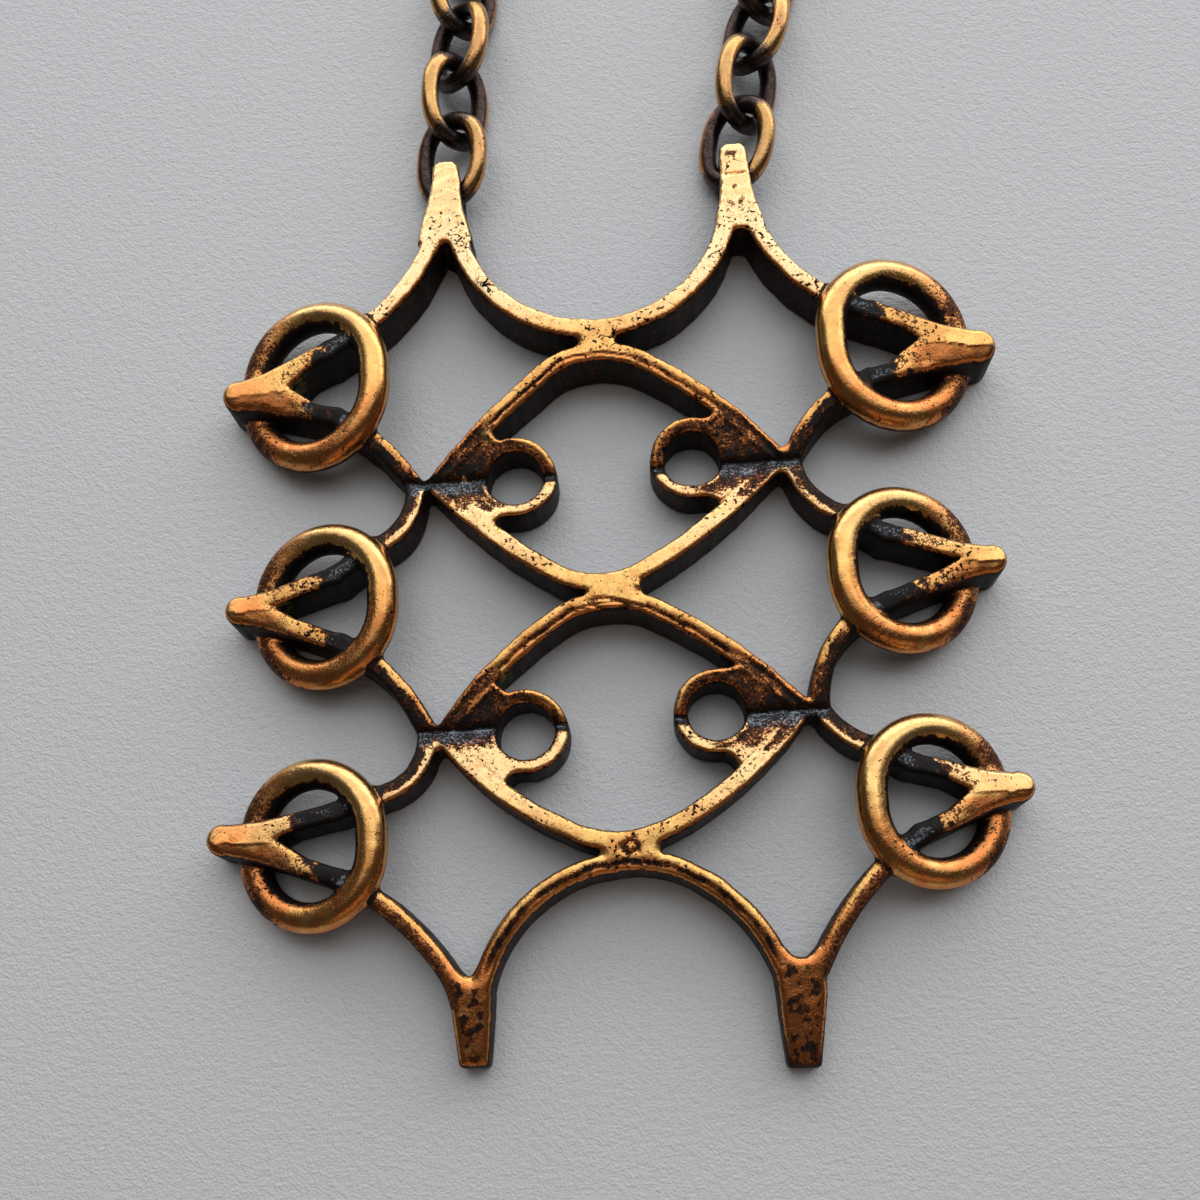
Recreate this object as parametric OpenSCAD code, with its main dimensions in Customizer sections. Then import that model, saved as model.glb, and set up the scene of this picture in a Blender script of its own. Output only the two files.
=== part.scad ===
// Bronze necklace: an openwork cast pendant with six side rings on a cable chain.
// Millimetres, +Z up. The pendant lies on its flat back on Z = 0, its centre junction
// near the origin, its right side towards +X and its two hanging prongs towards +Y.

/* [Lattice] */
// Width of the lattice bars
bar_width = 1.5; // [1.4:0.05:1.6]
// Height of the polished crowns above the flat back
crown_height = 4.4; // [4.3:0.05:4.6]
// Height of the chased valleys above the flat back
valley_height = 3.1; // [2.9:0.05:3.4]
// Place of the upper crown row along Y
upper_crown_y = 20.2; // [20:0.1:20.5]
// Place of the middle crown row along Y
middle_crown_y = -0.6; // [-0.8:0.1:-0.4]
// Place of the lower crown row along Y
lower_crown_y = -20.2; // [-20.4:0.1:-20]

/* [Eyes] */
// Outer radius of the eye rings in the lens corners
eye_radius = 3.3; // [3.2:0.05:3.4]
// Radius of the hole in each eye ring
eye_hole_radius = 2.2; // [2:0.05:2.3]

/* [Side rings] */
// Radius of the wire of the side rings
ring_wire_radius = 1.2; // [1.1:0.05:1.25]
// Half width of the two upper rings, to the middle of the wire
upper_ring_half_width = 5.2; // [5:0.05:5.3]
// Half height of the two upper rings, to the middle of the wire
upper_ring_half_height = 5.75; // [5.5:0.05:5.8]
// Half width of the other four rings, to the middle of the wire
ring_half_width = 5.0; // [4.9:0.05:5.1]
// Half height of the other four rings, to the middle of the wire
ring_half_height = 5.5; // [5.4:0.05:5.6]
// Lean of the rings out of the flat
ring_tilt = 17; // [15:0.5:18]
// Height of the middle of each ring above the flat back
ring_centre_height = 2.75; // [2.7:0.05:2.85]

/* [Hanging prongs] */
// Height of the cross hole in each prong above the flat back
hole_height = 1.9; // [1.85:0.05:1.95]
// Radius of the cross hole in each prong
hole_radius = 1.35; // [1.3:0.05:1.4]

/* [Chain] */
// Radius of the wire of the links
link_wire_radius = 0.725; // [0.65:0.005:0.725]
// Number of links in the left strand
links_left = 56; // [56]
// Number of links in the right strand
links_right = 55; // [55]
// Lean of each link to one side as the chain lies
link_roll = 38; // [36:0.5:39]

/* [Clasp] */
// Radius of the wire of the clasp
clasp_wire_radius = 0.9; // [0.8:0.05:0.9]
// Lean of the clasp to one side as it lies
clasp_roll = -36; // [-38:0.5:-34]
// Width of the slit in the clasp
clasp_gap = 1.2; // [1:0.1:1.6]

/* [Hidden] */
$fn = 48;
bronze = [0.62, 0.42, 0.20];
chain_bronze = [0.42, 0.30, 0.18];
clasp_bronze = [0.45, 0.32, 0.19];

// Centres of the eyes
left_upper_eye = [-7.15, 9.65];
right_upper_eye = [6.8, 10.3];
left_lower_eye = [-7.1, -10.85];
right_lower_eye = [7.45, -10.15];

// Centres of the cross holes, and where the first links pass through them
left_hole = [-11.8, 35.5];
right_hole = [11.7, 35.2];
left_start = [-11.8, 35.2];
right_start = [11.5, 34.9];

// A link measured to the middle of its wire, and the spacing of the links, which leaves
// 0.15 mm between two that hold each other
link_half_length = 3.425;
link_half_width = 2.5;
link_pitch = 5.25;

// The clasp measured to the middle of its wire
clasp_half_length = 6.1;
clasp_half_width = 2.8;

// Bars are cut from taller blanks, out to this reach on each side
blank_height = crown_height + 1;
side_reach = 36;

// Distance from a hold to the middle of either wire that meets there
hold_offset = link_half_length - link_pitch / 2;

// Helpers for curved bars, each with its centre line through three points.

function centre_of(a, b, c) =
    let(
        d = 2 * (a[0] * (b[1] - c[1]) + b[0] * (c[1] - a[1]) + c[0] * (a[1] - b[1])),
        aa = a * a,
        bb = b * b,
        cc = c * c
    )
    [(aa * (b[1] - c[1]) + bb * (c[1] - a[1]) + cc * (a[1] - b[1])) / d,
     (aa * (c[0] - b[0]) + bb * (a[0] - c[0]) + cc * (b[0] - a[0])) / d];

function bearing(o, p) = atan2(p[1] - o[1], p[0] - o[0]);

function turn(from, to) = (to - from) - 360 * floor((to - from) / 360);

// Each blank starts at a depth of its own below the flat back and ends at a height of
// its own, so that no two blanks share a plane. The envelope trims them all afterwards.
function extra(p) = 0.3 + abs(p[0]) / 60 + abs(p[1]) / 47;

// A bar of rectangular section whose centre line is the arc from a through b to c.
module arc_bar(a, b, c, width = bar_width) {
    o = centre_of(a, b, c);
    r = norm(a - o);
    forward = turn(bearing(o, a), bearing(o, b)) < turn(bearing(o, a), bearing(o, c));
    first = forward ? a : c;
    last = forward ? c : a;
    translate([o[0], o[1], -extra(b)])
        rotate([0, 0, bearing(o, first)])
            rotate_extrude(angle = turn(bearing(o, first), bearing(o, last)), $fn = 96)
                translate([r - width / 2, 0])
                    square([width, blank_height + 2 * extra(b)]);
}

module straight_bar(a, b, width = bar_width) {
    e = extra((a + b) / 2);
    translate([a[0], a[1], -e])
        rotate([0, 0, bearing(a, b)])
            translate([0, -width / 2, 0])
                cube([norm(b - a), width, blank_height + 2 * e]);
}

// A round boss that closes the outside of the corner where two bars meet.
module boss(p, radius = bar_width / 2 + 0.05) {
    translate([p[0], p[1], -extra(p)])
        rotate([0, 0, 33])
            cylinder(r = radius, h = blank_height + 2 * extra(p));
}

module plate(points) {
    e = extra((points[0] + points[1]) / 2);
    translate([0, 0, -e])
        linear_extrude(height = blank_height + 2 * e)
            polygon(points);
}

// A racetrack of round wire in the XY plane, long along X.
module oval_loop(half_length, half_width, wire) {
    straight = half_length - half_width;
    for (side = [-1, 1])
        translate([side * straight, 0, 0])
            rotate([0, 0, side == 1 ? -90 : 90])
                rotate_extrude(angle = 180)
                    translate([half_width, 0])
                        circle(r = wire);
    for (side = [-1, 1])
        translate([-straight, side * half_width, 0])
            rotate([0, 90, 0])
                cylinder(r = wire, h = 2 * straight);
}

// The pendant.

// One side of the pendant's outline: a spike with its two arms at each ring and the
// curves that run from arm to arm past the lens corners.
module spike(tip, upper, lower, notch) {
    arm_inset = tip[0] > 0 ? -1 : 1;
    root = [tip[0] + arm_inset * 1.1, tip[1]];
    straight_bar(upper, root);
    straight_bar(lower, root);
    boss(root, 1.1);
    plate([[root[0], root[1] + 1.0], upper, [notch[0], notch[1]], lower, [root[0], root[1] - 1.0]]);
    boss(upper);
    boss(lower);
}

module left_side() {
    arc_bar([-12.6, 31.4], [-15.6, 25.9], [-21.6, 21.2]);
    spike([-29.9, 17.7], [-21.6, 21.2], [-21.0, 15.5], [-24.7, 18.2]);
    arc_bar([-21.0, 15.5], [-17.8, 13.0], [-15.2, 9.8]);
    boss([-15.2, 9.8]);
    arc_bar([-15.2, 9.8], [-15.6, 7.0], [-18.0, 4.6]);
    boss([-18.0, 4.6]);
    straight_bar([-18.0, 4.6], [-21.4, 2.3]);
    spike([-29.8, -0.2], [-21.4, 2.3], [-21.0, -3.2], [-26.2, 0.1]);
    arc_bar([-21.0, -3.2], [-17.3, -6.1], [-14.7, -10.4]);
    boss([-14.7, -10.4]);
    arc_bar([-14.7, -10.4], [-15.5, -13.4], [-18.3, -15.2]);
    boss([-18.3, -15.2]);
    straight_bar([-18.3, -15.2], [-21.6, -16.3]);
    spike([-31.2, -18.1], [-21.6, -16.3], [-21.2, -21.5], [-26.0, -18.2]);
    arc_bar([-21.2, -21.5], [-16.2, -25.3], [-12.7, -30.4]);
}

module right_side() {
    arc_bar([12.7, 30.6], [15.35, 25.6], [21.7, 21.4]);
    spike([30.8, 17.4], [21.7, 21.4], [21.0, 15.8], [24.9, 18.7]);
    arc_bar([21.0, 15.8], [17.2, 13.7], [14.6, 9.9]);
    boss([14.6, 9.9]);
    arc_bar([14.6, 9.9], [15.3, 7.4], [18.0, 4.9]);
    boss([18.0, 4.9]);
    straight_bar([18.0, 4.9], [21.2, 3.0]);
    spike([29.9, 0.2], [21.2, 3.0], [20.9, -2.5], [26.4, 0.5]);
    arc_bar([20.9, -2.5], [16.5, -5.7], [15.3, -10.2]);
    boss([15.3, -10.2]);
    arc_bar([15.3, -10.2], [16.6, -12.1], [18.4, -13.3]);
    boss([18.4, -13.3]);
    straight_bar([18.4, -13.3], [21.6, -15.0]);
    spike([30.2, -17.4], [21.6, -15.0], [21.8, -20.4], [25.5, -17.4]);
    arc_bar([21.8, -20.4], [17.4, -24.2], [13.8, -29.6]);
}

// The bars round one lens, from corner to corner over the top and under the bottom.
module lens(corner_l, corner_r, top, bottom) {
    arc_bar(corner_l, top[1], top[2]);
    arc_bar(top[2], top[3], top[4]);
    arc_bar(top[4], top[5], corner_r);
    arc_bar(corner_l, bottom[1], bottom[2]);
    arc_bar(bottom[2], bottom[3], bottom[4]);
    arc_bar(bottom[4], bottom[5], corner_r);
    for (p = [corner_l, corner_r, top[2], top[4], bottom[2], bottom[4]])
        boss(p);
}

module upper_lens() {
    lens(
        [-13.5, 9.7], [13.6, 10.0],
        [0, [-8.3, 14.85], [-3.9, 18.5], [-0.2, 19.45], [3.6, 18.4], [7.9, 15.4]],
        [0, [-8.2, 4.3], [-4.5, 1.55], [-0.8, 0.4], [2.9, 1.4], [8.0, 4.8]]
    );
    plate([[-13.8, 9.6], [-9.2, 13.9], [-8.1, 12.4], left_upper_eye, [-8.0, 6.6], [-9.2, 5.6]]);
    plate([[13.8, 9.9], [9.0, 14.3], [7.7, 13.0], right_upper_eye, [7.6, 7.3], [8.8, 6.3]]);
}

module lower_lens() {
    lens(
        [-13.4, -10.7], [13.9, -10.2],
        [0, [-8.2, -5.1], [-3.9, -2.0], [-0.2, -1.05], [3.5, -2.05], [8.2, -5.1]],
        [0, [-8.4, -16.0], [-4.2, -18.6], [-0.3, -19.7], [3.6, -18.8], [8.2, -16.0]]
    );
    plate([[-13.6, -10.6], [-9.4, -6.8], [-8.4, -7.8], left_lower_eye, [-7.9, -14.0], [-8.9, -15.0]]);
    plate([[14.0, -10.2], [9.5, -6.6], [8.2, -7.0], right_lower_eye, [8.0, -13.3], [9.0, -14.6]]);
}

module eye_blank(at) {
    boss(at, eye_radius);
}

module eye_hole(at) {
    boss(at, eye_hole_radius);
}

// The short bridges down the middle, between arc and lens.
module bridges() {
    plate([[-1.5, 21.6], [-1.5, 19.3], [1.2, 19.3], [1.2, 21.6]]);
    plate([[-1.9, 0.6], [-1.9, -1.3], [2.3, -1.3], [2.3, 0.6]]);
    plate([[-1.6, -19.4], [-1.6, -21.4], [2.5, -21.4], [2.5, -19.4]]);
}

module hanging_arc_and_prongs() {
    arc_bar([-11.0, 30.6], [-0.5, 21.5], [10.7, 30.2], 1.6);
    plate([[-12.75, 37.4], [-12.8, 34.6], [-13.9, 31.2], [-12.2, 29.9], [-10.1, 30.6],
           [-10.7, 34.0], [-10.78, 37.4], [-11.2, 37.8], [-12.5, 37.8]]);
    plate([[10.75, 37.0], [10.7, 34.4], [9.8, 30.3], [11.9, 29.3], [13.7, 30.3],
           [12.85, 34.2], [12.75, 37.0], [12.3, 37.5], [11.1, 37.5]]);
}

module foot_arch_and_legs() {
    arc_bar([-11.3, -31.0], [-5.0, -22.5], [3.0, -21.6]);
    boss([3.0, -21.6]);
    arc_bar([3.0, -21.6], [8.2, -25.0], [11.45, -31.0]);
    plate([[-13.9, -28.9], [-13.3, -31.6], [-12.95, -35.7], [-10.9, -35.75], [-10.5, -32.2],
           [-10.45, -30.6], [-11.3, -29.2], [-11.8, -29.5]]);
    plate([[11.8, -29.2], [10.6, -30.8], [10.8, -33.0], [11.1, -36.85], [13.35, -36.9],
           [14.0, -31.6], [14.9, -28.9], [12.5, -29.0]]);
}

// The shape of the top face seen from the side: Y along, height up. Three crowns with
// sharp valleys between them; the ends fall away more gently.
module crown(y, from, to, radius) {
    intersection() {
        translate([y, crown_height - radius])
            circle(r = radius, $fn = 360);
        translate([from, 0])
            square([to - from, blank_height]);
    }
}

module top_profile() {
    half = (upper_crown_y - middle_crown_y) / 2;
    drop = crown_height - valley_height;
    radius = (half * half + drop * drop) / (2 * drop);
    upper_valley = (upper_crown_y + middle_crown_y) / 2;
    lower_valley = (lower_crown_y + middle_crown_y) / 2;
    crown(upper_crown_y, upper_crown_y, side_reach + 3, 190);
    crown(upper_crown_y, upper_valley, upper_crown_y, radius);
    crown(middle_crown_y, lower_valley, upper_valley, radius);
    crown(lower_crown_y, lower_crown_y, lower_valley, radius);
    crown(lower_crown_y, -side_reach - 3, lower_crown_y, 64);
}

module top_envelope() {
    translate([-side_reach, 0, 0])
        rotate([90, 0, 90])
            linear_extrude(height = 2 * side_reach)
                top_profile();
}

module lattice_blank() {
    left_side();
    right_side();
    upper_lens();
    lower_lens();
    bridges();
    hanging_arc_and_prongs();
    foot_arch_and_legs();
    eye_blank(left_upper_eye);
    eye_blank(right_upper_eye);
    eye_blank(left_lower_eye);
    eye_blank(right_lower_eye);
}

module lattice() {
    difference() {
        intersection() {
            lattice_blank();
            top_envelope();
        }
        eye_hole(left_upper_eye);
        eye_hole(right_upper_eye);
        eye_hole(left_lower_eye);
        eye_hole(right_lower_eye);
    }
}

// A side ring stands with its inner side over the arms and its outer side under the spike.
module side_ring(at, half_height = ring_half_height, half_width = ring_half_width) {
    lean = at[0] > 0 ? ring_tilt : -ring_tilt;
    translate([at[0], at[1], ring_centre_height])
        rotate([0, lean, 0])
            rotate([0, 0, 90])
                oval_loop(half_height, half_width, ring_wire_radius);
}

module side_rings() {
    side_ring([-23.0, 18.75], upper_ring_half_height, upper_ring_half_width);
    side_ring([-22.4, 0.2]);
    side_ring([-23.6, -18.6]);
    side_ring([23.3, 18.95], upper_ring_half_height, upper_ring_half_width);
    side_ring([22.4, 0.3]);
    side_ring([23.1, -17.8]);
}

// The cross hole in a prong, which holds the first link of the chain.
module prong_hole(at) {
    translate([at[0] - 3, at[1], hole_height])
        rotate([0, 90, 0])
            cylinder(r = hole_radius, h = 6);
}

module pendant() {
    color(bronze)
        difference() {
            union() {
                lattice();
                side_rings();
            }
            prong_hole(left_hole);
            prong_hole(right_hole);
        }
}

// The chain.

// The chain lies in a drop-shaped loop: straight, then bending out, straight, then a
// wide half turn over the top. Each stretch is [length, bend per millimetre in degrees].
left_heading = 84.6;
right_heading = 77.8;
lead = 22;
lower_radius = 80;
upper_radius = 69.19;
left_spread = 126;
right_spread = 114.65;

function stretches(heading, spread, straight, side) = [
    [lead, 0],
    [(spread - heading) * PI / 180 * lower_radius, side * 180 / PI / lower_radius],
    [straight, 0],
    [spread * PI / 180 * upper_radius + 5, -side * 180 / PI / upper_radius]
];

left_stretches = stretches(left_heading, left_spread, 62.03, 1);
right_stretches = stretches(180 - right_heading, right_spread, 110.91, -1);

// The point and heading d millimetres on from p along one stretch of the chain.
function onward(p, heading, bend, d) =
    bend == 0
        ? [p + d * [cos(heading), sin(heading)], heading]
        : let(k = bend * PI / 180, next = heading + bend * d)
            [p + [sin(next) - sin(heading), cos(heading) - cos(next)] / k, next];

function along(p, heading, list, d, i = 0) =
    (i == len(list) - 1 || d <= list[i][0])
        ? onward(p, heading, list[i][1], d)[0]
        : let(e = onward(p, heading, list[i][1], list[i][0]))
            along(e[0], e[1], list, d - list[i][0], i + 1);

// Height of the k-th hold between two links above the ground.
low_hold = link_wire_radius + link_half_width * sin(link_roll);
function hold_height(k, count) =
    k == 0 ? hole_height :
    k == 1 ? 2.38 :
    k == 2 ? 2.55 :
    k == count ? 2.62 : low_hold;

function roll_of(k) =
    k == 0 ? -20 :
    k == 1 ? 43 :
    k % 2 == 0 ? -link_roll : link_roll;

function first_hold(start, heading) =
    start + hold_offset * [cos(heading), sin(heading)];

function hold(first, heading, list, k, count) =
    let(p = along(first, heading, list, k * link_pitch))
    [p[0], p[1], hold_height(k, count)];

// One link between two holds, rolled about the line that joins them.
module link_between(a, b, roll) {
    middle = (a + b) / 2;
    d = b - a;
    translate(middle)
        rotate([0, 0, atan2(d[1], d[0])])
            rotate([0, -atan2(d[2], norm([d[0], d[1]])), 0])
                rotate([roll, 0, 0])
                    oval_loop(link_half_length, link_half_width, link_wire_radius);
}

// A strand from where its first link passes through the prong.
module chain(start, heading, list, count) {
    first = first_hold(start, heading);
    for (k = [0:count - 1])
        link_between(hold(first, heading, list, k, count), hold(first, heading, list, k + 1, count),
                     roll_of(k));
}

module chain_left() {
    color(chain_bronze)
        chain(left_start, left_heading, left_stretches, links_left);
}

module chain_right() {
    color(chain_bronze)
        chain(right_start, right_heading, right_stretches, links_right);
}

// A plain oval hook with a slit, hidden beyond the photograph's edge.
module clasp() {
    a = hold(first_hold(left_start, left_heading), left_heading, left_stretches, links_left, links_left);
    b = hold(first_hold(right_start, right_heading), right_heading, right_stretches, links_right, links_right);
    middle = (a + b) / 2;
    d = b - a;
    color(clasp_bronze)
        translate(middle)
            rotate([0, 0, atan2(d[1], d[0])])
                rotate([clasp_roll, 0, 0])
                    difference() {
                        oval_loop(clasp_half_length, clasp_half_width, clasp_wire_radius);
                        translate([-clasp_gap / 2, 0, -2])
                            cube([clasp_gap, 5, 4]);
                    }
}

pendant();
chain_left();
chain_right();
clasp();
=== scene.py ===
"""A cast bronze pendant on a cable chain, lying face up. Lengths are in millimetres until a mesh is made."""
import math

import bpy
import numpy as np
from mathutils import Matrix, Vector


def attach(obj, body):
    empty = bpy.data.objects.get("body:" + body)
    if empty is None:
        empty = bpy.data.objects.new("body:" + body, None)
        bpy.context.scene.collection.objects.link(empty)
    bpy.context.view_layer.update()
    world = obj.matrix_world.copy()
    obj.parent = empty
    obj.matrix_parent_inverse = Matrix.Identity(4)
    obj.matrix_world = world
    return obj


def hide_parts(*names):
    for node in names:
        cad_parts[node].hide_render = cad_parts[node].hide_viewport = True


MM = 0.001

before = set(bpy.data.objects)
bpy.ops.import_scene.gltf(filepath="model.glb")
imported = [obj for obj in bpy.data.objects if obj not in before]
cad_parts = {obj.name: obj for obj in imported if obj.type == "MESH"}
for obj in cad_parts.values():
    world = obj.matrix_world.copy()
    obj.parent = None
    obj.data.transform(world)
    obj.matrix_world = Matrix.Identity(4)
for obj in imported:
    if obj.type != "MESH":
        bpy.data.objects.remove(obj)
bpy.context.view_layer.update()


# The plan of the casting. Bars are arcs through three points or straight runs between two.

# Half the width of a bar
BAR = 0.75

CROWN_HEIGHT = 4.4
VALLEY_HEIGHT = 3.1
CROWN_ROWS = (20.2, -0.6, -20.2)
# Radius by which the top falls away towards the prongs and towards the legs
PRONG_FALL = 190
LEG_FALL = 64

LEFT_SIDE = [
    [(-12.6, 31.4), (-15.6, 25.9), (-21.6, 21.2)],
    [(-21.0, 15.5), (-17.8, 13.0), (-15.2, 9.8)],
    [(-15.2, 9.8), (-15.6, 7.0), (-18.0, 4.6)],
    [(-18.0, 4.6), (-21.4, 2.3)],
    [(-21.0, -3.2), (-17.3, -6.1), (-14.7, -10.4)],
    [(-14.7, -10.4), (-15.5, -13.4), (-18.3, -15.2)],
    [(-18.3, -15.2), (-21.6, -16.3)],
    [(-21.2, -21.5), (-16.2, -25.3), (-12.7, -30.4)],
]
RIGHT_SIDE = [
    [(12.7, 30.6), (15.35, 25.6), (21.7, 21.4)],
    [(21.0, 15.8), (17.2, 13.7), (14.6, 9.9)],
    [(14.6, 9.9), (15.3, 7.4), (18.0, 4.9)],
    [(18.0, 4.9), (21.2, 3.0)],
    [(20.9, -2.5), (16.5, -5.7), (15.3, -10.2)],
    [(15.3, -10.2), (16.6, -12.1), (18.4, -13.3)],
    [(18.4, -13.3), (21.6, -15.0)],
    [(21.8, -20.4), (17.4, -24.2), (13.8, -29.6)],
]
UPPER_LENS = [
    [(-13.5, 9.7), (-8.3, 14.85), (-3.9, 18.5)],
    [(-3.9, 18.5), (-0.2, 19.45), (3.6, 18.4)],
    [(3.6, 18.4), (7.9, 15.4), (13.6, 10.0)],
    [(-13.5, 9.7), (-8.2, 4.3), (-4.5, 1.55)],
    [(-4.5, 1.55), (-0.8, 0.4), (2.9, 1.4)],
    [(2.9, 1.4), (8.0, 4.8), (13.6, 10.0)],
]
LOWER_LENS = [
    [(-13.4, -10.7), (-8.2, -5.1), (-3.9, -2.0)],
    [(-3.9, -2.0), (-0.2, -1.05), (3.5, -2.05)],
    [(3.5, -2.05), (8.2, -5.1), (13.9, -10.2)],
    [(-13.4, -10.7), (-8.4, -16.0), (-4.2, -18.6)],
    [(-4.2, -18.6), (-0.3, -19.7), (3.6, -18.8)],
    [(3.6, -18.8), (8.2, -16.0), (13.9, -10.2)],
]
FOOT_ARCH = [
    [(-11.3, -31.0), (-5.0, -22.5), (3.0, -21.6)],
    [(3.0, -21.6), (8.2, -25.0), (11.45, -31.0)],
]
HANGING_ARC = [[(-11.0, 30.6), (-0.5, 21.5), (10.7, 30.2)]]
WEBS = [
    [(-13.8, 9.6), (-9.2, 13.9), (-8.1, 12.4), (-7.15, 9.65), (-8.0, 6.6), (-9.2, 5.6)],
    [(13.8, 9.9), (9.0, 14.3), (7.7, 13.0), (6.8, 10.3), (7.6, 7.3), (8.8, 6.3)],
    [(-13.6, -10.6), (-9.4, -6.8), (-8.4, -7.8), (-7.1, -10.85), (-7.9, -14.0), (-8.9, -15.0)],
    [(14.0, -10.2), (9.5, -6.6), (8.2, -7.0), (7.45, -10.15), (8.0, -13.3), (9.0, -14.6)],
]
BRIDGES = [
    [(-1.5, 21.6), (-1.5, 19.3), (1.2, 19.3), (1.2, 21.6)],
    [(-1.9, 0.6), (-1.9, -1.3), (2.3, -1.3), (2.3, 0.6)],
    [(-1.6, -19.4), (-1.6, -21.4), (2.5, -21.4), (2.5, -19.4)],
]
PRONGS = [
    [(-12.92, 37.3), (-13.02, 36.1), (-13.22, 34.8), (-13.5, 33.5), (-13.85, 32.2), (-14.15, 30.9),
     (-14.25, 30.1), (-13.6, 29.7), (-12.3, 30.0), (-11.5, 30.0), (-10.4, 29.6), (-9.85, 29.9),
     (-9.85, 30.6), (-10.15, 31.8), (-10.45, 33.1), (-10.6, 34.5), (-10.62, 35.9), (-10.85, 37.3),
     (-11.2, 37.75), (-12.5, 37.75)],
    [(10.62, 37.0), (10.5, 35.9), (10.48, 34.6), (10.45, 33.3), (10.25, 32.0), (10.0, 30.7), (9.95, 29.9),
     (10.4, 29.5), (11.3, 29.3), (12.4, 29.3), (13.2, 29.4), (13.85, 29.6), (13.7, 30.4), (13.33, 31.7),
     (13.12, 33.0), (12.97, 34.4), (12.9, 35.8), (12.8, 37.0), (12.4, 37.45), (11.1, 37.45)],
]
LEGS = [
    [(-13.55, -29.0), (-13.0, -31.6), (-12.7, -35.3), (-11.2, -35.35), (-10.85, -32.2), (-10.8, -30.6),
     (-11.3, -29.6), (-11.8, -29.9)],
    [(11.1, -28.6), (10.95, -31.0), (11.05, -33.0), (11.35, -36.45), (13.1, -36.5), (13.75, -31.6),
     (13.75, -28.6), (13.3, -29.0), (12.85, -29.25), (12.4, -29.3), (12.0, -29.25), (11.5, -29.0)],
]
# One row for each spike: tip, upper arm end, lower arm end, notch between the arms, radius of the tip
SPIKES = [
    [(-30.2, 17.8), (-21.6, 21.2), (-21.0, 15.5), (-24.7, 18.2), 1.25],
    [(-30.0, -0.1), (-21.4, 2.3), (-21.0, -3.2), (-26.2, 0.1), 1.2],
    [(-31.4, -18.0), (-21.6, -16.3), (-21.2, -21.5), (-26.0, -18.2), 1.25],
    [(31.0, 17.8), (21.7, 21.4), (21.0, 15.8), (24.9, 18.7), 1.35],
    [(30.1, 0.3), (21.2, 3.0), (20.9, -2.5), (26.4, 0.5), 1.2],
    [(30.4, -17.3), (21.6, -15.0), (21.8, -20.4), (25.5, -17.4), 1.2],
]
EYES = [(-7.15, 9.65), (6.8, 10.3), (-7.1, -10.85), (7.45, -10.15)]
EYE_RADIUS = 3.3
EYE_HOLE = 2.2
# One row for each side ring: centre x, centre y, half height, half width
RINGS = [
    (-23.0, 18.75, 5.95, 5.3),
    (-22.4, 0.2, 5.5, 5.0),
    (-23.6, -18.6, 5.5, 5.0),
    (23.3, 19.0, 6.05, 5.3),
    (22.4, 0.3, 5.5, 5.0),
    (23.1, -17.8, 5.5, 5.0),
]
# How far the rubbed metal runs down the upper and the lower arm of each spike, past the notch
RUBBED_RUNS = [(2.2, 1.7), (3.2, 4.0), (1.5, 2.5), (2.8, 1.5), (3.6, 3.0), (1.5, 2.0)]
RING_WIRE = 1.2
RING_TILT = math.radians(17)
RING_HEIGHT = 2.75
PRONG_HOLES = [(-11.8, 35.5), (11.7, 35.2)]
PRONG_HOLE_HEIGHT = 1.9
PRONG_HOLE_RADIUS = 1.35


# Distances in the plan.

def circle_through(a, b, c):
    d = 2 * (a[0] * (b[1] - c[1]) + b[0] * (c[1] - a[1]) + c[0] * (a[1] - b[1]))
    aa, bb, cc = a[0] ** 2 + a[1] ** 2, b[0] ** 2 + b[1] ** 2, c[0] ** 2 + c[1] ** 2
    x = (aa * (b[1] - c[1]) + bb * (c[1] - a[1]) + cc * (a[1] - b[1])) / d
    y = (aa * (c[0] - b[0]) + bb * (a[0] - c[0]) + cc * (b[0] - a[0])) / d
    return (x, y), math.hypot(a[0] - x, a[1] - y)


def bearing(o, p):
    return math.atan2(p[1] - o[1], p[0] - o[0])


def nearest_on_arc(x, y, a, b, c):
    """The point of the arc through a, b and c that is nearest to each x, y."""
    o, r = circle_through(a, b, c)
    first, last = a, c
    if (bearing(o, b) - bearing(o, a)) % math.tau > (bearing(o, c) - bearing(o, a)) % math.tau:
        first, last = c, a
    sweep = (bearing(o, last) - bearing(o, first)) % math.tau
    middle = bearing(o, first) + sweep / 2
    off = (np.arctan2(y - o[1], x - o[0]) - middle + math.pi) % math.tau - math.pi
    off = np.clip(off, -sweep / 2, sweep / 2) + middle
    return o[0] + r * np.cos(off), o[1] + r * np.sin(off)


def nearest_on_run(x, y, a, b):
    dx, dy = b[0] - a[0], b[1] - a[1]
    t = np.clip(((x - a[0]) * dx + (y - a[1]) * dy) / (dx * dx + dy * dy), 0, 1)
    return a[0] + t * dx, a[1] + t * dy


def nearest_on(x, y, points):
    if len(points) == 3:
        return nearest_on_arc(x, y, *points)
    return nearest_on_run(x, y, *points)


def line_distance(x, y, points):
    nx, ny = nearest_on(x, y, points)
    return np.hypot(x - nx, y - ny)


def run_distance(x, y, a, b):
    return line_distance(x, y, (a, b))


def outward_offset(x, y, points):
    """Distance from a bar's middle line, less than nought on the side nearer to the pendant's middle."""
    nx, ny = nearest_on(x, y, points)
    return np.copysign(np.hypot(x - nx, y - ny), (x - nx) * np.sign(nx))


def polygon_distance(x, y, points):
    nearest = np.full(x.shape, 1e9)
    inside = np.zeros(x.shape, bool)
    for (ax, ay), (bx, by) in zip(points, points[1:] + points[:1]):
        nearest = np.minimum(nearest, run_distance(x, y, (ax, ay), (bx, by)))
        if ay != by:
            crosses = (ay > y) != (by > y)
            inside ^= crosses & (x < (bx - ax) * (y - ay) / (by - ay) + ax)
    return np.where(inside, -nearest, nearest)


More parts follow.
